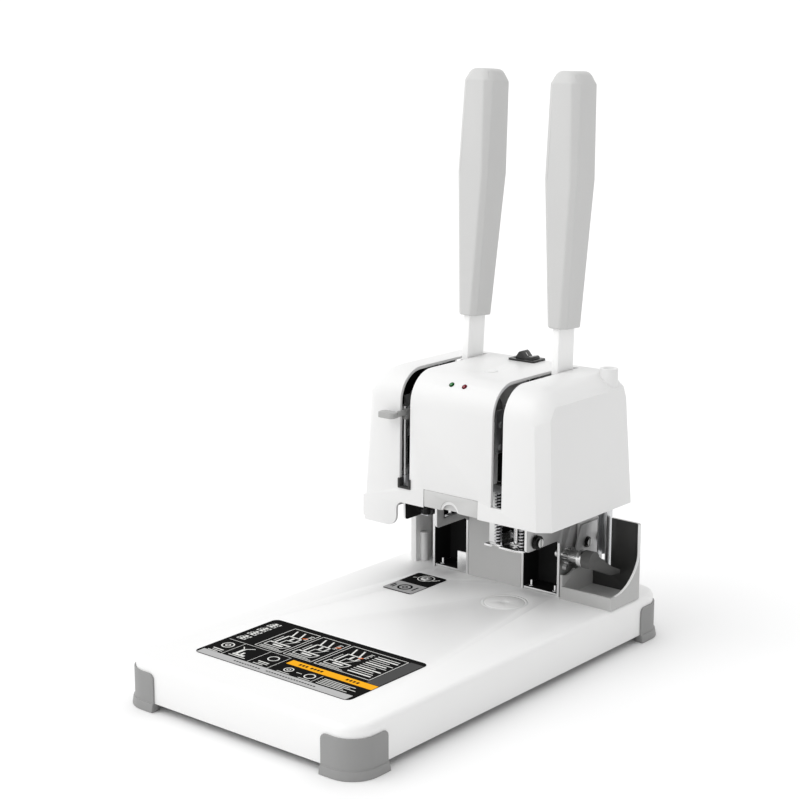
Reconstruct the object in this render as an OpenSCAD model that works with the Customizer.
// Desk riveting machine for paper documents: a drilling station and a hot riveting station side by side.
// Millimetres, +Z up. The origin is on the table under the middle of the base; the front faces -Y.

/* [Base] */
// Width of the white base
base_w = 260; // [240:1:300]
// Depth of the white base, front to back
base_d = 440; // [425:1:480]
// Height of the base's top face above the table
base_h = 44; // [42:0.5:56]
// Gap between the table and the lower rim of the base
rim_gap = 7.5; // [5:0.5:10]
// Radius of the base's upright corners
corner_r = 22; // [16:1:28]
// Radius of the base's top edge
edge_r = 5; // [3:0.5:8]
// Wall of the moulded base and its top
base_wall = 4; // [3:0.5:5]
// Thickness of the steel plate under the base's top
sole_t = 5; // [4:0.5:6]

/* [Feet] */
// Run of a corner foot along the front of the base
foot_run_x = 35.5; // [30:0.5:45]
// Run of a corner foot along the side of the base
foot_run_y = 37.5; // [30:0.5:45]
// Height of a corner foot's guard
foot_h = 34; // [26:0.5:36]
// How far the guard stands out of the base
guard_t = 1.6; // [1:0.1:3]
// How far the foot's lower lip stands out of the base
lip_t = 4; // [3.2:0.1:6]

/* [Stations] */
// Centre line of the riveting station, left of the middle
rivet_x = -57.6; // [-62:0.2:-56]
// Centre line of the drilling station, right of the middle
drill_x = 48.7; // [46:0.1:49.5]
// Outer width of a station's steel channel
frame_w = 43.4; // [42.4:0.2:44.4]
// Sheet thickness of the steel channel
sheet_t = 2.5; // [2:0.1:2.8]
// Distance of the tool axes behind the middle of the base
tool_y = 98; // [96:0.5:98.5]
// Front face of the columns behind the middle of the base
column_y = 135.5; // [134.5:0.5:138]
// Depth of a column
column_d = 27; // [24:1:27]
// Height of the riveting station's throat above the base
rivet_throat = 57.5; // [56:0.5:58]
// Height of the drilling station's throat above the base
drill_throat = 55.2; // [55:0.1:57]

/* [Head] */
// Left side of the head's lower edge
head_left = -108; // [-112:0.5:-106]
// Right side of the head's lower edge
head_right = 104; // [103:0.5:108]
// Front face of the head
head_front = 65; // [62:0.5:66]
// Back face of the head's lower edge
head_back = 207; // [205:0.5:212]
// Lower edge of the head above the base
head_low = 83; // [82:0.5:86]
// Top of the head above the base
head_top = 208; // [206:0.5:214]
// Wall of the moulded head
head_wall = 3; // [2.4:0.1:3.4]
// Radius of the front top edge
brow_r = 30; // [24:1:34]
// Radius of the rear top edge
nape_r = 9; // [6:1:12]
// Width of a lever slot
slot_w = 12; // [11.6:0.1:13]
// Lower end of a lever slot above the base
slot_low = 97; // [96.5:0.5:98]

/* [Levers] */
// Lever pivot behind the middle of the base
pivot_y = 162.5; // [162:0.1:163]
// Lever pivot above the base
pivot_h = 125; // [124.5:0.1:126]
// Lean of the left lever at rest, backwards from upright
lean_left = 4; // [2:0.5:5]
// Lean of the right lever at rest, backwards from upright
lean_right = 2; // [1:0.5:4]
// Thickness of a lever's flat bar
bar_t = 7; // [6:0.1:7.2]
// Width of a lever's flat bar
bar_w = 25; // [22:0.5:26]
// Length of a lever from its pivot to the end of the grip
lever_len = 355; // [330:1:370]
// Length of the moulded grip
grip_len = 232; // [200:1:234]
// Diameter of a lever's pivot shaft
shaft_d = 10; // [9:0.2:11]
// Radial running clearance of shafts, rods and pins
run_gap = 0.05; // [0.03:0.01:0.08]

/* [Rack drive] */
// Module of the lever's toothed sector
gear_m = 2; // [1.95:0.01:2.05]
// Teeth of the full wheel that the sector is cut from
gear_n = 32; // [32:1:32]
// Face width of the toothed sector
gear_w = 5.6; // [5:0.1:5.8]
// Play between sector and rack, measured along the pitch line
gear_play = 0.2; // [0.15:0.01:0.3]
// Diameter of a guide rod
rod_d = 6; // [5.6:0.1:6.2]
// Distance of a guide rod from the station's centre line
rod_x = 14; // [13.9:0.05:14.1]

/* [Tools] */
// Diameter of the drill motor
motor_d = 27; // [25:0.2:27.4]
// Height of the drill motor's can
motor_h = 40; // [36:0.5:41]
// Diameter of the hollow drill bit
bit_d = 6; // [5:0.1:7]
// Diameter of the rivet head's tip
tip_d = 8; // [6:0.1:9]
// Thickness of the presser foot
foot_plate_t = 2; // [1.6:0.1:2.4]
// Curls of a presser spring
presser_curls = 9; // [6:1:9]
// Curls of a carriage return spring
return_curls = 13; // [8:1:14]
// Diameter of the round cutting pad
pad_d = 44; // [40:0.5:48]

/* [Tube cutter] */
// Outer width of the tray for cut tubes
tray_w = 56; // [52:0.5:58]
// Outer depth of the tray
tray_d = 53.5; // [50:0.5:56]
// Wall of the tray
tray_t = 2.5; // [2:0.1:3]
// Height of the tray's front wall
tray_lip = 12; // [9:0.5:16]
// Bore of the tube inlet on the head
inlet_bore = 7; // [6.6:0.1:8]
// Height of the cutter lever's axis above the base
cutter_h = 41.5; // [41:0.5:43]
// Distance of the cutter lever's axis behind the middle of the base
cutter_y = 139.5; // [139:0.5:140]

/* [Hidden] */
$fn = 48;
eps = 0.01;
seat = 0.3;                                   // gap between a moving piece and its neighbour
push_fit = 0.02;                              // added to a hole that holds a rod
ledge_t = base_wall + 1;                      // width of the shelf that carries the base's rim
deck_z = base_h - base_wall;                  // underside of the base's top
sole_z = deck_z - sole_t;                     // underside of the steel plate
stations = [rivet_x, drill_x];
inner_w = frame_w - 2 * sheet_t;              // clear width between a channel's cheeks
column_back = column_y + column_d;
pivot_z = base_h + pivot_h;
head_z = base_h + head_low;
top_z = base_h + head_top;
slot_z = base_h + slot_low;
shoulder_z = top_z - 14;                      // where the head's sides start to lean in
draft = 4.4;                                  // how far the sides lean in from lower edge to shoulder
crown_in = 24;                                // from the shoulder in to the flat top
pitch_r = gear_m * gear_n / 2;
rack_y = pivot_y - pitch_r;                   // pitch line of both racks
gear_x = bar_t / 2 + 0.1;                     // near face of the sector, from the station's centre line
rack_x = gear_x + 0.3;
rack_w = gear_w - 0.4;
swing_left = 90 + lean_left + 7;              // full swing of the left lever, in degrees
swing_right = 90 + lean_right + 5;            // full swing of the right lever
drop_left = pitch_r * swing_left * PI / 180;  // full travel of the riveting carriage
drop_right = pitch_r * swing_right * PI / 180;
deck_gap = 0.4;                               // what is left under a tool at the end of its travel
presser_z = base_h + drop_right + deck_gap;   // underside of the presser foot at rest
carriage_z = base_h + 106;                    // underside of a carriage's plate
carriage_t = 7;                               // thickness of that plate
web_y = tool_y + motor_d / 2 + 2;             // front face of a carriage's upright web
web_t = 5.4;
rod_y = web_y + web_t + 0.1;                  // centre line of the guide rods
block_d = 11;                                 // depth of the sliding block round a rod
block_low = carriage_z + 15;
block_top = block_low + 25;
tray_x = drill_x + frame_w / 2 + 3.1;         // left face of the tray
tray_y = column_y - 2.9;                      // front face of the tray
cutter_z = base_h + cutter_h;
tube_x = tray_x + 15.5;                       // centre line of the tube inlet and its guide
tube_y = tray_y + tray_d - 4;
pad_x = drill_x - 9;
pad_y = tool_y - 5.6;
label_t = 0.4;
wire_d = 0.9;
white = [0.93, 0.93, 0.92];
grey = [0.52, 0.53, 0.53];
light_grey = [0.72, 0.73, 0.73];
dark = [0.16, 0.16, 0.17];
steel = [0.72, 0.73, 0.75];
brass = [0.78, 0.62, 0.32];

// ---------- shared shapes ----------

// Rectangle with its corners cut at 45 degrees
module octagon(w, d, c) {
    polygon([[-w / 2 + c, -d / 2], [w / 2 - c, -d / 2], [w / 2, -d / 2 + c], [w / 2, d / 2 - c],
             [w / 2 - c, d / 2], [-w / 2 + c, d / 2], [-w / 2, d / 2 - c], [-w / 2, -d / 2 + c]]);
}

// Box between two corner points
module box(low, high) {
    translate(low) cube(high - low);
}

// Outline in the YZ plane, extruded along X from x0
module side_sheet(x0, t) {
    translate([x0, 0, 0]) rotate([90, 0, 90]) linear_extrude(t) children();
}

// Outline in the XZ plane, extruded backwards from y0
module front_sheet(y0, t) {
    translate([0, y0 + t, 0]) rotate([90, 0, 0]) linear_extrude(t) children();
}

// Rod along X
module rod_along_x(x0, len, y, z, d) {
    translate([x0, y, z]) rotate([0, 90, 0]) cylinder(h = len, d = d);
}

// Rectangle with true round corners
module round_rect(low, high, r) {
    size = high - low;
    union() {
        translate(low + [r, 0]) square([size.x - 2 * r, size.y]);
        translate(low + [0, r]) square([size.x, size.y - 2 * r]);
        for (x = [low.x + r, high.x - r], y = [low.y + r, high.y - r])
            translate([x, y]) circle(r);
    }
}

// Point of an involute of a base circle of radius r, unrolled by t degrees
function involute(r, t) = [r * (cos(t) + t * PI / 180 * sin(t)), r * (sin(t) - t * PI / 180 * cos(t))];

function turned(p, a) = [p.x * cos(a) - p.y * sin(a), p.x * sin(a) + p.y * cos(a)];

// Outline of one gear tooth centred on +X, from inside the root to the tip
function tooth(m, n, play, tip = 1) =
    let (rp = m * n / 2, rb = rp * cos(20), ra = rp + tip * m, root = rp - 1.25 * m,
         reach = sqrt(pow(ra / rb, 2) - 1) * 180 / PI,
         half = 90 / n - play / 4 / rp * 180 / PI + (tan(20) - 20 * PI / 180) * 180 / PI,
         flank = [for (i = [0:5]) turned(involute(rb, reach * i / 5), -half)])
    concat([turned([root - 1, 0], -half)], flank,
           [for (i = [5:-1:0]) [flank[i].x, -flank[i].y]], [turned([root - 1, 0], half)]);

// Outline of one rack tooth at the origin, pointing to +X
module rack_tooth(m, play, tip = 1) {
    foot_w = PI * m / 4 - play / 4 + 1.25 * m * tan(20);
    tip_w = PI * m / 4 - play / 4 - tip * m * tan(20);
    polygon([[-1.25 * m - 0.5, -foot_w], [-1.25 * m, -foot_w], [tip * m, -tip_w],
             [tip * m, tip_w], [-1.25 * m, foot_w], [-1.25 * m - 0.5, foot_w]]);
}

// One unbroken tube wound round Z: flat-ended, with the given curls between z0 and z1
module coil(r, wire, curls, z0, z1) {
    steps = 8 * curls;
    rise = z1 - z0 - wire;
    rings = [for (i = [0:steps]) let (a = 360 * i / 8, z = z0 + wire / 2 + rise * i / steps)
        [for (k = [0:5]) let (b = 60 * k, q = r + wire / 2 * cos(b))
            [q * cos(a), q * sin(a), z + wire / 2 * sin(b)]]];
    points = [for (ring = rings) for (p = ring) p];
    sides = [for (i = [0:steps - 1]) for (k = [0:5]) let (n = (k + 1) % 6, a = 6 * i, b = 6 * (i + 1))
        each [[a + k, b + k, b + n], [a + k, b + n, a + n]]];
    ends = concat([for (k = [1:4]) [0, k, k + 1]],
                  [for (k = [1:4]) [6 * steps, 6 * steps + k + 1, 6 * steps + k]]);
    polyhedron(points, concat(sides, ends));
    echo(least_gap = rise / curls - wire);
}

// ---------- base ----------

// Closed block of the base's outer form, sunk in by inset
module base_form(inset, z0, z1, r_edge) {
    w = base_w / 2 - inset;
    d = base_d / 2 - inset;
    r = corner_r - inset;
    hull() for (x = [-1, 1], y = [-1, 1]) translate([x * (w - r), y * (d - r), 0]) {
        translate([0, 0, z0]) cylinder(h = z1 - z0 - r_edge, r = r, $fn = 32);
        translate([0, 0, z1 - r_edge]) rotate_extrude($fn = 32) intersection() {
            union() {
                square([r - r_edge, r_edge]);
                translate([r - r_edge, 0]) circle(r_edge, $fn = 24);
            }
            square([r, r_edge]);
        }
    }
}

module base_shell() {
    color(white) difference() {
        base_form(0, rim_gap, base_h, edge_r);
        base_form(base_wall, rim_gap - 1, deck_z, 1);
        translate([pad_x, pad_y, base_h - 2]) cylinder(h = 3, d = pad_d + 2 * 0.1);
        translate([rivet_x, tool_y, deck_z - 1]) cylinder(h = base_wall + 2, d = 9.2);
        stud_bores();
    }
}

module sole_plate() {
    color(steel) difference() {
        translate([0, 0, sole_z]) linear_extrude(sole_t)
            octagon(base_w - 2 * base_wall - 4, base_d - 2 * base_wall - 4, corner_r);
        stud_bores();
    }
}

// Places of the studs that hold both columns to the base
module at_studs() {
    for (x = stations, s = [-1, 1]) translate([x + s * 13.6, column_y + 6, 0]) children();
}

module stud_bores() {
    at_studs() translate([0, 0, sole_z - 1]) cylinder(h = base_h - sole_z + 8, d = 4.2);
}

// Corner foot: a guard round the base's corner on a lip that carries the rim
module foot(sx, sy) {
    color(grey) intersection() {
        difference() {
            union() {
                translate([0, 0, rim_gap - eps]) linear_extrude(foot_h - rim_gap) guard_plan(guard_t);
                hull() {
                    linear_extrude(1) guard_plan(lip_t);
                    translate([0, 0, rim_gap - 1]) linear_extrude(1) guard_plan(lip_t - 1.2);
                }
            }
            translate([0, 0, rim_gap]) linear_extrude(base_h) guard_plan(0.1);
            translate([0, 0, -1]) linear_extrude(base_h) guard_plan(-ledge_t);
        }
        foot_corner(sx, sy);
    }
}

// The base's plan, grown by t
module guard_plan(t) {
    round_rect([-base_w / 2 - t, -base_d / 2 - t], [base_w / 2 + t, base_d / 2 + t], corner_r + t);
}

// The block of space that one foot fills, with the guard's rounded upper ends
module foot_corner(sx, sy) {
    reach = lip_t + 5;
    r = 5;
    hull() {
        translate([sx * (base_w / 2 + reach), sy * (base_d / 2 + reach), 0]) mirror([sx > 0 ? 1 : 0, 0, 0])
            mirror([0, sy > 0 ? 1 : 0, 0]) translate([0, 0, -1])
                for (a = [0:22.5:90])
                    cube([foot_run_x + reach - r * (1 - cos(a)), foot_run_y + reach - r * (1 - cos(a)),
                          foot_h + 1 - r * (1 - sin(a))]);
    }
}

module foot_front_left() { foot(-1, -1); }
module foot_front_right() { foot(1, -1); }
module foot_rear_left() { foot(-1, 1); }
module foot_rear_right() { foot(1, 1); }

module instruction_label() {
    color(dark) translate([0, 0, base_h]) linear_extrude(label_t)
        round_rect([-base_w / 2 + 40.4, -base_d / 2 + 41.2], [base_w / 2 - 43.9, -base_d / 2 + 144], 6);
}

module size_label() {
    color(dark) translate([0, 0, base_h]) linear_extrude(label_t) difference() {
        round_rect([rivet_x - 17.5, tool_y - 45], [rivet_x + 17.5, tool_y + 11], 3);
        translate([rivet_x, tool_y]) circle(d = 11);
    }
}

// Lower die of the riveting station, with the cup that forms the tube's lower rim
module rivet_anvil() {
    color(brass) difference() {
        union() {
            translate([rivet_x, tool_y, deck_z]) cylinder(h = base_wall + 1.2, d = 9);
            translate([rivet_x, tool_y, base_h]) cylinder(h = 0.4, d = 10.6);
        }
        translate([rivet_x, tool_y, base_h + 3.4]) sphere(3);
    }
}

module cutting_pad() {
    color(white) translate([pad_x, pad_y, base_h - 2]) difference() {
        cylinder(h = 2, d = pad_d);
        translate([0, 0, 1.6]) difference() {
            cylinder(h = 1, d = pad_d - 5);
            translate([0, 0, -1]) cylinder(h = 3, d = pad_d - 7);
        }
        translate([0, 0, 1.6]) cylinder(h = 1, d = 7);
    }
}

// ---------- columns and lower housing ----------

// Cheek of a station's channel in the YZ plane: the column, the throat and the arm over it
module cheek(front, throat_z) {
    polygon([[column_y, base_h], [column_back, base_h], [column_back, head_z + 3],
             [pivot_y + 25.5, head_z + 3], [pivot_y + 25.5, top_z - 47], [pivot_y + 8, top_z - 26],
             [front + 12, top_z - 26], [front, top_z - 38], [front, throat_z + 3],
             [front + 0.9, throat_z + 0.9], [front + 3, throat_z],
             [column_y - 3, throat_z], [column_y, throat_z - 3]]);
}

// Steel channel of a station: two cheeks, the column's back and a foot that stands on the base
module channel(x, front_l, front_r, throat) {
    half = frame_w / 2;
    difference() {
        union() {
            side_sheet(x - half, sheet_t) cheek(front_l, base_h + throat);
            side_sheet(x + half - sheet_t, sheet_t) cheek(front_r, base_h + throat);
            box([x - half + 1, column_back - sheet_t, base_h], [x + half - 1, column_back, head_z + 3]);
            box([x - half + 1, pivot_y + 25.5 - sheet_t, head_z + 3],
                [x + half - 1, pivot_y + 25.5, top_z - 47]);
            box([x - half + 1, column_y + 1, base_h], [x + half - 1, column_back, base_h + sheet_t]);
        }
        rod_along_x(x - half - 1, frame_w + 2, pivot_y, pivot_z, shaft_d + 2 * run_gap);
        stud_bores();
    }
}

module rivet_frame() {
    color(light_grey) difference() {
        channel(rivet_x, tool_y - 8, tool_y - 11, rivet_throat);
        box([rivet_x, tool_y - 0.5, base_h + rivet_throat + 7.5],
            [rivet_x + frame_w, tool_y + 27, head_z + 12]);
    }
    // Bent tab inside the channel's right cheek
    color(light_grey) box([rivet_x + 8, column_y + 1, base_h + sheet_t - 0.5],
        [rivet_x + frame_w / 2 - 1, column_y + 2.6, base_h + 21]);
}

module drill_frame() {
    color(light_grey) difference() {
        channel(drill_x, tool_y - 5, tool_y - 15, drill_throat);
        rod_along_x(drill_x, frame_w, cutter_y, cutter_z, journal_d + 2 * run_gap);
    }
    color(light_grey) {
        box([drill_x - frame_w / 2 - 6, tool_y - 5, base_h + drill_throat],
            [drill_x - frame_w / 2 + 1, tool_y - 5 + sheet_t, top_z - 40]);
    }
}

// Flanged studs through the channels' feet, the base and the steel plate
module frame_studs() {
    color(steel) at_studs() {
        translate([0, 0, sole_z - 3]) cylinder(h = base_h + sheet_t - sole_z + 3, d = 4);
        translate([0, 0, sole_z - 3]) cylinder(h = 3, d = 8);
        translate([0, 0, base_h + sheet_t]) cylinder(h = 1.2, d = 6.5);
        translate([0, 0, base_h + sheet_t]) cylinder(h = 6, d = 2.6);
    }
}

module lower_housing() {
    mid_l = rivet_x + frame_w / 2 + seat;
    mid_r = drill_x - frame_w / 2 - seat;
    wing_l = rivet_x - frame_w / 2 - 21;
    wing_r = rivet_x - frame_w / 2 - seat;
    right = tray_x - 0.4;
    rear = head_back - 4;
    color(grey) translate([0, 0, base_h]) linear_extrude(head_low) {
        translate([mid_l, column_y]) square([mid_r - mid_l, 3]);
        translate([mid_l, column_y]) square([3, rear - column_y]);
        translate([mid_r - 3, column_y]) square([3, rear - column_y]);
        translate([wing_l, column_back - 3]) square([wing_r - wing_l, 3]);
        translate([wing_l, column_back - 3]) square([3, rear - column_back + 3]);
        translate([wing_l, rear - 3]) square([right - wing_l, 3]);
        translate([right - 3, column_back + 1]) square([3, rear - column_back - 1]);
    }
}

// White cheek at the left end of the lower housing, with its round rib
module left_cover() {
    inner = rivet_x - frame_w / 2 - 21 - seat;
    color(white) translate([0, 0, base_h]) {
        box([head_left + 1, column_y, 0], [inner, head_back - 4, head_low - 22]);
        box([head_left + head_wall + 1.5, column_y, head_low - 23], [inner, head_back - 16, head_low + 8]);
        difference() {
            translate([inner + 3, column_y + 9, 0]) cylinder(h = 29, r = 4);
            translate([inner - 5, column_y, -1]) cube([5, 20, 31]);
        }
    }
}

// ---------- tray and tube cutter ----------

// Scoop outline of the tray's right wall: a low front that sweeps up to the back wall
module scoop() {
    r = tray_d - 11.5;
    y = tray_y + 7.5;
    difference() {
        translate([tray_y, base_h]) square([tray_d, tray_lip + r + 17]);
        translate([y, base_h + tray_lip + r]) circle(r, $fn = 96);
        translate([tray_y - 1, base_h + tray_lip]) square([y - tray_y + 1.5, r]);
        translate([tray_y - 1, base_h + tray_lip + r]) square([r + y - tray_y + 1, 20]);
    }
}

module tube_tray() {
    right = tray_x + tray_w;
    back = tray_y + tray_d;
    wall_h = tray_lip + tray_d + 5;
    corner = 8;
    color(grey) difference() {
        union() {
            box([tray_x, tray_y, base_h], [right - corner, back - corner, base_h + tray_t]);
            box([tray_x, tray_y, base_h], [right, tray_y + tray_t, base_h + tray_lip]);
            side_sheet(right - tray_t, tray_t) intersection() {
                scoop();
                translate([tray_y, base_h]) square([tray_d - corner, wall_h]);
            }
            intersection() {
                side_sheet(right - corner, corner) scoop();
                translate([right - corner, back - corner, base_h]) difference() {
                    cylinder(h = wall_h, r = corner);
                    translate([0, 0, tray_t]) cylinder(h = wall_h, r = corner - tray_t);
                }
                box([right - corner, back - corner, base_h], [right, back, base_h + wall_h]);
            }
            box([tray_x, back - corner, base_h], [right - corner, back, base_h + tray_t]);
            box([right - corner, tray_y, base_h], [right, back - corner, base_h + tray_t]);
            box([tray_x + 22, back - tray_t, base_h], [right - corner, back, base_h + wall_h]);
            box([tray_x, tray_y, base_h], [tray_x + tray_t, column_back - 9, base_h + 30]);
            box([tray_x, tray_y, base_h], [tray_x + tray_t, back, base_h + 24]);
            box([tray_x, back - tray_t, base_h], [tray_x + 23, back, base_h + tray_lip]);
        }
        rod_along_x(tray_x - 1, tray_t + 2, cutter_y + 2, cutter_z + 2, 44);
    }
}

// Bright channel that leads a tube from the inlet down to the tray, slit for the blade
module tube_guide() {
    low = base_h + 20;
    high = top_z - 22;
    r = inlet_bore / 2 + seat;
    color(steel) difference() {
        translate([0, 0, low]) linear_extrude(high - low) difference() {
            translate([tube_x - r - 1.2, tube_y - r - 1.2]) square([2 * r + 2.4, 2 * r + 2.4]);
            translate([tube_x, tube_y]) circle(r);
            translate([tube_x - r, tube_y - r - 2]) square([2 * r, r + 2]);
        }
        box([tube_x - 6, tube_y - 6, cutter_z - 14], [tube_x + 3.6, tube_y + 6, cutter_z - 8]);
    }
}

// Steel plate on the housing's right side that carries the blade's slideway
module cutter_plate() {
    right = tray_x - 0.4;
    line = cutter_z - blade_r;
    color(light_grey) difference() {
        union() {
            side_sheet(right, 2.2) polygon([[column_back + 1.5, base_h + 64], [tube_y + 20, base_h + 64],
                [tube_y + 20, base_h + 31], [tube_y, base_h + 32.5], [column_back + 14, base_h + 37],
                [column_back + 2, base_h + 26], [column_back - 6, base_h + 26],
                [column_back - 6, base_h + 44]]);
            box([right + 1, column_back - 6, line - 7], [blade_x + 7, column_back + 2, line + 1]);
        }
        for (y = plate_screw_y) rod_along_x(right - 1, 5, y, base_h + 49.6 - 3.9, 3.4);
        box([blade_x, column_back - 7, line - 4.45], [blade_x + 4.8, column_back + 3, line + 2]);
    }
}
plate_screw_y = [column_back + 11.5, column_back + 32.5];

// Round-headed screws: two in the cutter plate, one in the drill frame's cheek
module plate_screws() {
    right = tray_x - 0.4;
    color(steel) {
        for (y = plate_screw_y) {
            rod_along_x(right + 2.2, 0.8, y, base_h + 45.7, 10.5);
            screw_x(right, 3, y, base_h + 45.7, 3.2, 7);
        }
        screw_x(drill_x + frame_w / 2, 4, tool_y - 1, base_h + 62.6, 13, 8);
    }
}

// Screw along +X: a shank and a slotted round head
module screw_x(x, len, y, z, shank, head) {
    difference() {
        union() {
            rod_along_x(x, len + 0.1, y, z, shank);
            rod_along_x(x + len, 2, y, z, head);
        }
        box([x + len + 1.2, y - 0.6, z - head], [x + len + 3, y + 0.6, z + head]);
    }
}

// Blade's pinion: pitch radius and rack line
blade_m = 1;
blade_n = 15;
blade_r = blade_m * blade_n / 2;
blade_x = tray_x + 2.6;

journal_d = 5;

// Cutter lever's steel hub: the journal, the pinion that drives the blade and the bright band
module cutter_hub() {
    cheek_x = drill_x + inner_w / 2;
    color(steel) {
        rod_along_x(cheek_x - 1, blade_x - cheek_x + 1.5, cutter_y, cutter_z, journal_d);
        rod_along_x(cheek_x - 2.4, 2.1, cutter_y, cutter_z, journal_d + 4);
        side_sheet(blade_x, 5) translate([cutter_y, cutter_z]) {
            circle(blade_r - 1.25);
            for (i = [0:blade_n - 1]) polygon([for (p = tooth(blade_m, blade_n, 0.2, 0.8))
                turned(p, 360 / blade_n * (i + 0.5) - 90)]);
        }
        rod_along_x(blade_x + 5, 10, cutter_y, cutter_z, 12.5);
        rod_along_x(blade_x + 15, 5, cutter_y, cutter_z, 16.5);
    }
}

// Dark moulded lever that lifts the blade's pinion round
module cutter_lever() {
    x0 = blade_x + 20;
    end_y = tray_y + tray_d - 11.6;
    end_z = base_h + 16;
    color(dark) {
        rod_along_x(x0, 10, cutter_y, cutter_z, 17);
        hull() {
            rod_along_x(x0 + 1, 8, cutter_y + 1, cutter_z - 1, 14);
            box([x0 + 1, end_y - 10, end_z + 6], [x0 + 12, end_y - 8, end_z + 13]);
        }
        hull() {
            box([x0 + 1, end_y - 10, end_z + 6], [x0 + 12, end_y - 8, end_z + 13]);
            box([x0 + 1, end_y - 1, end_z], [x0 + 16, end_y, end_z + 3]);
        }
    }
}

// Sliding blade: a toothed bar over the pinion and a knife that crosses the tube
module cutter_blade() {
    line = cutter_z - blade_r;
    tip = tube_y - 4.2;
    pitch = PI * blade_m;
    color(steel) {
        side_sheet(blade_x + 0.2, 4.4) {
            for (i = [-2:2]) translate([cutter_y + i * pitch, line])
                rotate(90) rack_tooth(blade_m, 0.2, 0.8);
            translate([cutter_y - 8.1, line - 4.25]) square([tube_y - cutter_y - 1.9, 3]);
        }
        translate([0, 0, line - 4.25]) linear_extrude(1.6) polygon([[blade_x + 0.2, tube_y - 14],
            [tube_x + 3, tube_y - 12], [tube_x + 3, tip - 1.5], [blade_x + 4, tip]]);
    }
}

// ---------- head ----------

// Closed block of the head's outer form, sunk in by t; an open back runs on behind it
module head_form(t, open) {
    low = open ? head_z - 30 : head_z;
    back = open ? 40 : -t;
    corner_x = 11;
    corner_y = 9;
    rear_cut = open ? 0.1 : 5;
    left = head_left + t;
    right = head_right - t;
    front = head_front + t;
    rear = head_back + back;
    brow = brow_r - t;
    nape = nape_r - t / 2;
    brow_y = head_front + 1.5 + brow_r;
    hull() {
        translate([0, 0, low]) linear_extrude(1)
            polygon([[left + 4, front], [right - corner_x, front], [right, front + corner_y],
                     [right, rear - rear_cut], [right - rear_cut, rear],
                     [left + rear_cut, rear], [left, rear - rear_cut], [left, front + 4]]);
        translate([0, 0, shoulder_z - 11]) linear_extrude(1)
            polygon([[left + draft + 4, front + 4], [right - draft - corner_x, front + 4],
                     [right - draft, front + corner_y + 1], [right - draft, rear - 6 - rear_cut],
                     [right - draft - rear_cut, rear - 6], [left + draft + rear_cut, rear - 6],
                     [left + draft, rear - 6 - rear_cut], [left + draft, front + 8]]);
        translate([0, 0, shoulder_z - 1]) linear_extrude(1)
            polygon([[left + draft + 1, front + 16], [right - draft - 0.8, front + 18],
                     [right - draft - 0.8, rear - 9 - rear_cut], [right - draft - 5, rear - 8],
                     [left + draft + 5, rear - 8], [left + draft + 1, rear - 9 - rear_cut]]);
        rod_along_x(left + draft + 9, right - left - 2 * draft - corner_x - 9,
                    brow_y, top_z - brow_r - 4, 2 * brow);
        rod_along_x(left + crown_in, right - left - 2 * crown_in, brow_y, top_z - brow_r, 2 * brow);
        rod_along_x(left + crown_in, right - left - 2 * crown_in,
                    head_back - 7 - nape_r + (open ? 40 : 0), top_z - nape_r, 2 * nape);
    }
}

module head_housing() {
    boss_z = top_z - 26;
    color(white) difference() {
        union() {
            difference() {
                union() {
                    head_form(0, false);
                    head_skirt();
                    translate([tube_x, tube_y, top_z - 30]) cylinder(h = 34.5, d = 17);
                }
                head_form(head_wall, true);
            }
            // Posts that seat the head on the channels' cheeks
            for (x = stations, s = [-1, 1])
                translate([x + s * (frame_w / 2 - sheet_t / 2), pivot_y - 18, boss_z])
                    cylinder(h = 24, d = 8);
            translate([tube_x, tube_y, top_z - 21.7]) cylinder(h = 20, d = 12);
        }
        for (x = stations)
            box([x - slot_w / 2, head_front - 5, slot_z], [x + slot_w / 2, pivot_y + 22, top_z + 5]);
        translate([tube_x, tube_y, top_z - 40]) cylinder(h = 60, d = inlet_bore);
        translate([tube_x, tube_y, top_z + 2]) cylinder(h = 2.6, d1 = inlet_bore, d2 = inlet_bore + 5);
        insert_opening(0);
        switch_opening(0);
        for (x = lamp_x) lamp_bore(x);
        translate([plug_pos.x, plug_pos.y, top_z - 10]) cylinder(h = 20, d = plug_d + 0.2);
        translate([rivet_x - 7.5, head_front - 1, slot_z]) cube([15, 8, 9.5]);
    }
}

// Skirt at the left of the head: front and side walls drop over the lower housing
module head_skirt() {
    drop = 24.5;
    low = head_z - drop;
    run = 40.5;
    r = 11;
    r_in = 7;
    difference() {
        union() {
            front_sheet(head_front, head_wall) difference() {
                union() {
                    translate([head_left, low + r]) square([run, drop - r]);
                    translate([head_left + 2, low]) square([run - r - 2, r + 1]);
                    translate([head_left + run - r, low + r]) circle(r);
                    translate([head_left + run - eps, head_z - r_in]) square([r_in, r_in]);
                }
                translate([head_left + run + r_in, head_z - r_in]) circle(r_in);
            }
            box([head_left, head_front, low + 3], [head_left + head_wall, head_back, head_z]);
        }
        translate([head_left - 1, head_front - 1, low - 1]) cube([3, 3, 5]);
    }
}

lamp_x = [-11.4, 3.2];
lamp_d = 5;
lamp_tip = 41;                                // tilt of a lamp from upright, towards the front
plug_pos = [0.7, 119.5];
plug_d = 13;

module at_brow(x) {
    translate([x, head_front + 1.5 + brow_r, top_z - brow_r]) rotate([lamp_tip, 0, 0]) children();
}

// Bore of a lamp, square to the round brow
module lamp_bore(x) {
    at_brow(x) cylinder(h = brow_r + 5, d = lamp_d + 0.1);
}

// Small domed lamp on the brow
module lamp(x) {
    at_brow(x) {
        translate([0, 0, brow_r - head_wall - 1]) cylinder(h = head_wall + 1.3, d = lamp_d);
        translate([0, 0, brow_r + 0.3]) intersection() {
            translate([0, 0, -3.6]) sphere(4.38);
            cylinder(h = 3, d = lamp_d);
        }
    }
}

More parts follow.
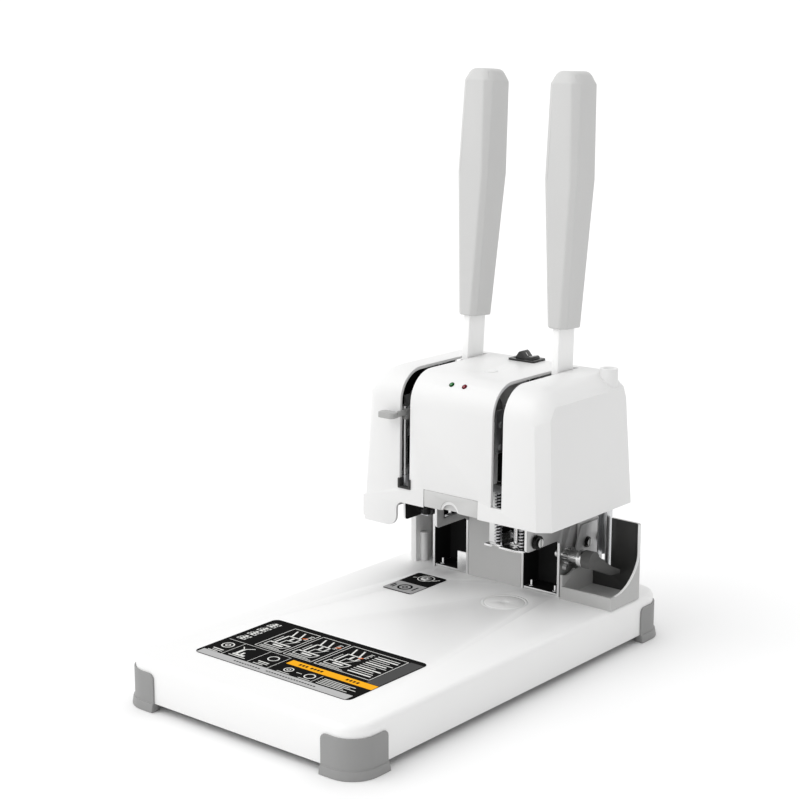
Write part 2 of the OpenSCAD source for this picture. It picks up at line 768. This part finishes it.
module green_lamp() { color([0.1, 0.55, 0.2]) lamp(lamp_x[0]); }
module red_lamp() { color([0.7, 0.08, 0.12]) lamp(lamp_x[1]); }

insert_x = [-34.5, 28];

// Space of the grey insert at the head's lower edge, shrunk by gap
module insert_opening(gap) {
    box([insert_x[0] + gap, head_front - 1, head_z - 1],
        [insert_x[1] - gap, head_front + head_wall + 2, head_z + 17.5 - gap]);
}

// Grey cover at the middle of the head's lower edge, with a finger notch
module front_insert() {
    mid = (insert_x[0] + insert_x[1]) / 2 - 1.2;
    color(light_grey) difference() {
        union() {
            box([insert_x[0] + 0.2, head_front + 0.2, head_z + 1],
                [insert_x[1] - 0.2, head_front + 2.6, head_z + 17.3]);
            box([insert_x[0] - 3, head_front + head_wall + 0.9, head_z + 1],
                [insert_x[1] + 3, head_front + head_wall + 2.5, head_z + 20]);
            box([insert_x[0] + 4, head_front + 2.5, head_z + 10],
                [insert_x[1] - 4, head_front + head_wall + 1, head_z + 16]);
        }
        translate([mid, head_front - 1, head_z + 0.5]) rotate([-90, 0, 0]) cylinder(h = 2.4, r = 10.3);
        translate([mid, head_front - 1, head_z - 1]) rotate([-90, 0, 0]) cylinder(h = 3.8, r = 8.6);
    }
}

// Rubber stop at the foot of the left slot
module slot_bumper() {
    color(dark) difference() {
        box([rivet_x - 7.4, head_front - 1, slot_z + 0.1], [rivet_x + 7.4, head_front + 5, slot_z + 9.4]);
        box([rivet_x - 5, head_front - 2, slot_z + 1.8], [rivet_x + 5, head_front + 7, slot_z + 11]);
    }
}

module top_plug() {
    color(white) translate([plug_pos.x, plug_pos.y, top_z - 5]) cylinder(h = 5.4, d = plug_d);
}

switch_pos = [-4.5, 183.5];
switch_size = [30, 21];

module switch_opening(gap) {
    w = switch_size.x - 4 - 2 * gap;
    d = switch_size.y - 4 - 2 * gap;
    box([switch_pos.x - w / 2, switch_pos.y - d / 2, top_z - 20],
        [switch_pos.x + w / 2, switch_pos.y + d / 2, top_z + 5]);
}

module switch_bezel() {
    wall = 1.5;
    low = top_z - 14;
    w = switch_size.x;
    d = switch_size.y;
    color(dark) translate([switch_pos.x, switch_pos.y, 0]) difference() {
        union() {
            translate([0, 0, top_z]) linear_extrude(1.8) octagon(w, d, 1.5);
            box([-w / 2 + 2.3, -d / 2 + 2.3, low], [w / 2 - 2.3, d / 2 - 2.3, top_z + 1]);
        }
        box([-w / 2 + 2.3 + wall, -d / 2 + 2.3 + wall, low + 1.5],
            [w / 2 - 2.3 - wall, d / 2 - 2.3 - wall, top_z + 5]);
        translate([0, d / 2, top_z - 3]) rotate([90, 0, 0]) cylinder(h = d, d = 2.1);
    }
}

// Rocker: a shallow V that tips about a cross pin
module switch_rocker() {
    w = switch_size.x - 7.6 - 3;
    d = switch_size.y - 7.6 - 0.8;
    color(dark) translate([switch_pos.x, switch_pos.y, top_z - 3]) rotate([0, 18, 0]) {
        rotate([90, 0, 0]) translate([0, 0, -d / 2]) linear_extrude(d)
            polygon([[-w / 2, 0.5], [0, -3], [w / 2, 0.5], [w / 2, 4], [w / 2 - 1.6, 9], [w / 2 - 2.6, 10],
                     [w / 2 - 4.6, 9.6], [0, 6.6], [4.6 - w / 2, 9.6], [2.6 - w / 2, 10],
                     [1.6 - w / 2, 9], [-w / 2, 4]]);
        translate([0, (d + 3) / 2, 0]) rotate([90, 0, 0]) cylinder(h = d + 3, d = 2);
    }
}

// Back panel, recessed in the head's open back
module rear_cover() {
    y = head_back - 14;
    in = head_wall + 1.3;
    color(white) front_sheet(y, 3) polygon([[head_left + in, head_z + 0.5], [head_right - in, head_z + 0.5],
        [head_right - draft - in - 0.6, shoulder_z - 3], [head_right - crown_in - in - 1, top_z - 5],
        [head_left + crown_in + in + 1, top_z - 5], [head_left + draft + in + 0.6, shoulder_z - 3]]);
}

// ---------- levers ----------

module at_pivot(x, lean) {
    translate([x, pivot_y, pivot_z]) rotate([-lean, 0, 0]) children();
}

// Flat steel bar with its eye on the shaft and a tang inside the grip
module arm(x, lean) {
    tang = lever_len - grip_len + 60;
    color(white) at_pivot(x, lean) difference() {
        union() {
            rotate([0, 90, 0]) translate([0, 0, -bar_t / 2]) cylinder(h = bar_t, d = bar_w + 5);
            box([-bar_t / 2, -bar_w / 2, 0], [bar_t / 2, bar_w / 2, lever_len - grip_len]);
            box([-bar_t / 2, -bar_w / 2 + 4, 0], [bar_t / 2, bar_w / 2 - 4, tang]);
        }
        translate([-bar_t, 0, 0]) rotate([0, 90, 0]) cylinder(h = 2 * bar_t, d = shaft_d + 0.04);
    }
}

// One facet of the grip: a tapered octagon between two sections [height, width, depth, cut]
module grip_part(a, b) {
    hull() {
        translate([0, 0, a[0]]) linear_extrude(0.01) octagon(a[1], a[2], a[3]);
        translate([0, 0, b[0] - 0.01]) linear_extrude(0.01) octagon(b[1], b[2], b[3]);
    }
}

module grip(x, lean) {
    low = lever_len - grip_len;
    sections = [[0, 22, 31.3, 5.3], [0.585, 35.5, 37.5, 4.8], [0.955, 33.4, 38, 6.7], [1, 24, 28.6, 6]];
    color(light_grey) at_pivot(x, lean) difference() {
        union() for (i = [0:2]) grip_part([low + grip_len * sections[i][0] - (i > 0 ? eps : 0),
            sections[i][1], sections[i][2], sections[i][3]], [low + grip_len * sections[i + 1][0],
            sections[i + 1][1], sections[i + 1][2], sections[i + 1][3]]);
        box([-bar_t / 2 - 0.05, -bar_w / 2 + 3.95, low - 1], [bar_t / 2 + 0.05, bar_w / 2 - 3.95, low + 60.2]);
    }
}

// Toothed sector beside the bar: its teeth come up to the rack as the lever swings down
module sector(x, swing) {
    step = 360 / gear_n;
    count = ceil(swing / step) + 2;
    color(steel) side_sheet(x + gear_x, gear_w) translate([pivot_y, pivot_z]) difference() {
        union() {
            circle(13);
            intersection() {
                circle(pitch_r - 1.25 * gear_m, $fn = 96);
                polygon([[0, 0], for (a = [180 - step * (count - 0.5) : 15 : 200]) 2 * pitch_r * [cos(a), sin(a)],
                         2 * pitch_r * [cos(200), sin(200)]]);
            }
            for (i = [-1:count - 2]) polygon([for (p = tooth(gear_m, gear_n, gear_play))
                turned(p, 180 - step * i)]);
        }
        circle(d = shaft_d + 0.04);
        for (a = [110, 155]) translate(21 * [cos(a), sin(a)]) circle(4.5);
    }
}

// Pivot shaft with the collars that keep the bar in the middle of the channel
module shaft(x) {
    reach = frame_w / 2 + 3;
    half = inner_w / 2 - 0.2;
    color(steel) difference() {
        union() {
            rod_along_x(x - reach, 2 * reach, pivot_y, pivot_z, shaft_d);
            rod_along_x(x - half, half - bar_t / 2 - 0.1, pivot_y, pivot_z, shaft_d + 6);
            rod_along_x(x + gear_x + gear_w, half - gear_x - gear_w, pivot_y, pivot_z, shaft_d + 6);
        }
        for (s = [-1, 1]) rod_groove(x + s * (reach - 1.5));
    }
}

// Snap-ring groove round a shaft's end
module rod_groove(x) {
    difference() {
        rod_along_x(x - 0.4, 0.8, pivot_y, pivot_z, shaft_d + 2);
        rod_along_x(x - 1, 2, pivot_y, pivot_z, shaft_d - 1);
    }
}

module left_arm() { arm(rivet_x, lean_left); }
module left_grip() { grip(rivet_x, lean_left); }
module left_sector() { sector(rivet_x, swing_left); }
module left_shaft() { shaft(rivet_x); }
module right_arm() { arm(drill_x, lean_right); }
module right_grip() { grip(drill_x, lean_right); }
module right_sector() { sector(drill_x, swing_right); }
module right_shaft() { shaft(drill_x); }

// ---------- carriages ----------

// Straight rack that a sector drives
module rack(x, drop) {
    pitch = PI * gear_m;
    rows = ceil(drop / pitch) + 2;
    low = pivot_z - 1.5 * pitch;
    color(steel) side_sheet(x + rack_x, rack_w) {
        translate([web_y + web_t + 0.05, low])
            square([rack_y - 1.25 * gear_m - web_y - web_t - 0.05, pitch * (rows + 0.5)]);
        for (i = [0:rows]) translate([rack_y, low + pitch * (i + 0.0) + pitch]) rotate(0)
            if (i < rows) rack_tooth(gear_m, gear_play);
    }
}

// Carriage: a plate under the tool, an upright web and two blocks that slide on the rods
module carriage(x, hole_d) {
    half = inner_w / 2 - seat;
    front = tool_y - 15;
    difference() {
        union() {
            box([x - half + 1.8, front, carriage_z], [x + half - 1.8, web_y - 0.4, carriage_z + carriage_t]);
            box([x - 9.2, web_y - 1, carriage_z], [x + rack_x + rack_w, web_y + web_t, block_low]);
            box([x + rack_x, web_y, block_low - 1], [x + rack_x + rack_w, web_y + web_t, block_top]);
            box([x - 9.2, web_y, block_low - 6], [x + bar_t / 2, web_y + block_d, block_low - 1]);
            for (s = [-1, 1]) box([x + (s < 0 ? -half : rod_x - 4.3), web_y, block_low],
                                  [x + (s < 0 ? -rod_x + 4.3 : half), web_y + block_d, block_top]);
            box([x - half, web_y, block_low - eps], [x + half, web_y + 2.5, block_low + 4]);
        }
        translate([x, tool_y, carriage_z - 1]) cylinder(h = carriage_t + 2, d = hole_d);
        for (s = [-1, 1]) {
            translate([x + s * rod_x, rod_y, carriage_z]) cylinder(h = 60, d = rod_d + 2 * run_gap);
            translate([x + s * 13.5, tool_y - 10, carriage_z - 1])
                cylinder(h = carriage_t + 2, d = 4 + 2 * run_gap);
        }
    }
}

module guide_rods(x, throat) {
    low = base_h + throat;
    high = top_z - 30;
    color(steel) for (s = [-1, 1]) translate([x + s * rod_x, rod_y, low])
        cylinder(h = high - low, d = rod_d);
}

// Blocks on the cheeks that hold the ends of the guide rods and the return spring
module rod_blocks(x, throat) {
    half = inner_w / 2;
    low = base_h + throat;
    high = top_z - 30;
    color(light_grey) difference() {
        union() {
            for (s = [-1, 1]) {
                box([x + (s < 0 ? -half : rod_x - 3.8), web_y, low],
                    [x + (s < 0 ? -rod_x + 3.8 : half), web_y + block_d, low + 5.5]);
                box([x + (s < 0 ? -half : rod_x - 3.8), web_y, high - 8],
                    [x + (s < 0 ? -rod_x + 3.8 : half), web_y + block_d, high + 2]);
            }
            box([x - half, tool_y - 10, pivot_z + 15], [x - half + 2, web_y - 0.5, high + 2]);
            box([x - half, web_y - 1, block_top + 2], [x - half + 2, web_y + block_d, high + 2]);
            box([x - rod_x + 3, web_y + 2, high - 8], [x - bar_t / 2 - 0.3, web_y + block_d, high - 2]);
            for (z = [20.4, 41.4]) rod_along_x(x - half + 2, 1.6, tool_y - 3.5, pivot_z + z, 6);
        }
        for (s = [-1, 1]) translate([x + s * rod_x, rod_y, low - 1]) cylinder(h = high, d = rod_d + push_fit);
    }
}

// Extension spring that pulls a carriage back up
module return_spring(x) {
    color(steel) translate([x - 6.7, rod_y, 0])
        coil(2.2, wire_d, return_curls, block_low - 1, top_z - 38);
}

module rivet_carriage() { color(steel) carriage(rivet_x, 10); }
module rivet_rack() { rack(rivet_x, drop_left); }
module rivet_guide_rods() { guide_rods(rivet_x, rivet_throat); }
module rivet_rod_blocks() { rod_blocks(rivet_x, rivet_throat); }
module rivet_return_spring() { return_spring(rivet_x); }
module drill_carriage() { color(steel) carriage(drill_x, 14); }
module drill_rack() { rack(drill_x, drop_right); }
module drill_guide_rods() { guide_rods(drill_x, drill_throat); }
module drill_rod_blocks() { rod_blocks(drill_x, drill_throat); }
module drill_return_spring() { return_spring(drill_x); }

// Finned heater that warms the rivet head
module heater_block() {
    color(grey) translate([rivet_x, tool_y, carriage_z - 30]) difference() {
        union() {
            cylinder(h = 30, d = 16);
            for (i = [0:5]) translate([0, 0, 3 + 4.4 * i]) cylinder(h = 2, d = 22);
            cylinder(h = 30 + carriage_t, d = 9.9);
        }
        translate([0, 0, -1]) cylinder(h = 16, d = 6);
    }
}

// Brass head whose shouldered tip rolls the tube's upper rim
module rivet_head() {
    low = base_h + 65.2;
    high = carriage_z - 30;
    color(brass) translate([rivet_x, tool_y, 0]) {
        difference() {
            translate([0, 0, low]) cylinder(h = high - low, d = tip_d);
            translate([0, 0, low]) rotate_extrude() translate([2.6, 0]) circle(1, $fn = 24);
        }
        translate([0, 0, high - 3]) cylinder(h = 3, d = tip_d + 5);
        translate([0, 0, high - eps]) cylinder(h = 15, d = 5.9);
    }
}

module drill_motor() {
    low = carriage_z + carriage_t;
    color(steel) translate([drill_x, tool_y, low]) {
        cylinder(h = motor_h, d = motor_d);
        cylinder(h = 42.5, d = 10);
        translate([0, 0, -carriage_t]) cylinder(h = carriage_t + 1, d = 10);
    }
}

// Chuck on the motor's shaft, with its clamping screw
module drill_chuck() {
    high = carriage_z - seat;
    color(steel) translate([drill_x, tool_y, 0]) difference() {
        union() {
            translate([0, 0, high - 14]) cylinder(h = 14, d = 12.6);
            translate([0, 0, high - 19]) cylinder(h = 6, d = 9.4);
        }
        translate([0, 0, high - 20]) cylinder(h = 15, d = bit_d + 0.02);
        translate([0, 0, high - 7]) rotate([90, 0, 20]) cylinder(h = 8, d = 3);
    }
}

// Hollow drill bit: a thin tube with a bevelled cutting rim and a chip window
module drill_bit() {
    low = presser_z + 0.1;
    high = carriage_z - seat - 6;
    color(steel) translate([drill_x, tool_y, 0]) difference() {
        translate([0, 0, low]) cylinder(h = high - low, d = bit_d);
        translate([0, 0, low - 1]) cylinder(h = high - low - 3, d = bit_d - 1.6);
        translate([0, 0, low - eps]) cylinder(h = 1, d1 = bit_d - 0.3, d2 = bit_d - 1.8);
        box([0, -1.4, low + 28], [bit_d, 1.4, low + 38]);
    }
}

// Presser foot: a bright plate round the bit on two pins that slide in the carriage
module presser_foot() {
    z = presser_z;
    t = foot_plate_t;
    color(steel) difference() {
        union() {
            translate([0, 0, z]) linear_extrude(t) polygon([[drill_x - 24.5, tool_y - 17],
                [drill_x + 12, tool_y - 18], [drill_x + 18, tool_y - 15], [drill_x + 18, tool_y + 14],
                [drill_x - 18, tool_y + 14], [drill_x - 18, tool_y - 8.4], [drill_x - 24.5, tool_y - 8.4]]);
            box([drill_x - 18, tool_y - 5.5, z], [drill_x - 18 + t, tool_y + 14, z + 9]);
            box([drill_x - 18, tool_y + 14 - t, z], [drill_x + 18, tool_y + 14, z + 7]);
            for (s = [-1, 1]) translate([drill_x + s * 13.5, tool_y - 10, z])
                cylinder(h = carriage_z + carriage_t + 3 - z, d = 4);
        }
        translate([drill_x, tool_y, z - 1]) cylinder(h = t + 2, d = 14);
        box([drill_x - 15.7, tool_y - 20, z - 1], [drill_x - 7.7, tool_y - 13, z + t + 1]);
    }
}

module presser_springs() {
    color(steel) for (s = [-1, 1]) translate([drill_x + s * 13.5, tool_y - 10, 0])
        coil(3.4, wire_d, presser_curls, presser_z + foot_plate_t, carriage_z);
}

// ---------- thickness gauge ----------

gauge_x = rivet_x - 9.2;
gauge_y = head_front + 12;
gauge_low = head_z - 3;
gauge_top = head_z + 82;
gauge_d = 5;

// Grey finger tab with the thin stem that runs in through the slot
module gauge_tab() {
    z = gauge_top;
    stem = rivet_x - bar_t / 2 - 0.7;
    color(grey) {
        translate([0, 0, z]) linear_extrude(5) {
            round_rect([stem - 17.5, head_front - 13.5], [stem, head_front - 2.5], 3);
        }
        box([stem - 1.4, head_front - 4, z + 0.5], [stem, gauge_y + 3, z + 6]);
        difference() {
            box([gauge_x - 3.6, gauge_y - 3.6, z - 4], [stem, gauge_y + 3.6, z + 6]);
            translate([gauge_x, gauge_y, z - 5]) cylinder(h = 12, d = gauge_d + push_fit);
        }
    }
}

module gauge_rod() {
    color(steel) translate([gauge_x, gauge_y, 0]) {
        translate([0, 0, gauge_low + 4]) cylinder(h = gauge_top + 8 - gauge_low - 4, d = gauge_d);
        translate([0, 0, gauge_low]) cylinder(h = 4, d = 7);
    }
}

// Sleeve on the riveting frame that the gauge rod slides in
module gauge_sleeve() {
    low = head_z + 4;
    cheek_x = rivet_x - frame_w / 2;
    color(light_grey) difference() {
        union() {
            translate([gauge_x, gauge_y, low]) cylinder(h = 20, d = 9.5);
            box([cheek_x + sheet_t, gauge_y - 2, low], [gauge_x, gauge_y + 2, low + 20]);
            box([cheek_x + sheet_t, gauge_y - 2, low], [cheek_x + sheet_t + 1.5, tool_y + 6, low + 20]);
        }
        translate([gauge_x, gauge_y, low - 1]) cylinder(h = 22, d = gauge_d + 2 * run_gap);
    }
}

base_shell();
sole_plate();
foot_front_left();
foot_front_right();
foot_rear_left();
foot_rear_right();
instruction_label();
size_label();
rivet_anvil();
cutting_pad();
lower_housing();
left_cover();
tube_tray();
rivet_frame();
drill_frame();
frame_studs();
rivet_guide_rods();
drill_guide_rods();
rivet_rod_blocks();
drill_rod_blocks();
head_housing();
rear_cover();
front_insert();
slot_bumper();
green_lamp();
red_lamp();
top_plug();
switch_bezel();
switch_rocker();
tube_guide();
cutter_plate();
plate_screws();
left_arm();
left_grip();
left_sector();
left_shaft();
right_arm();
right_grip();
right_sector();
right_shaft();
rivet_carriage();
rivet_rack();
heater_block();
rivet_head();
rivet_return_spring();
drill_carriage();
drill_rack();
drill_motor();
drill_chuck();
drill_bit();
drill_return_spring();
presser_foot();
presser_springs();
gauge_tab();
gauge_rod();
gauge_sleeve();
cutter_lever();
cutter_hub();
cutter_blade();
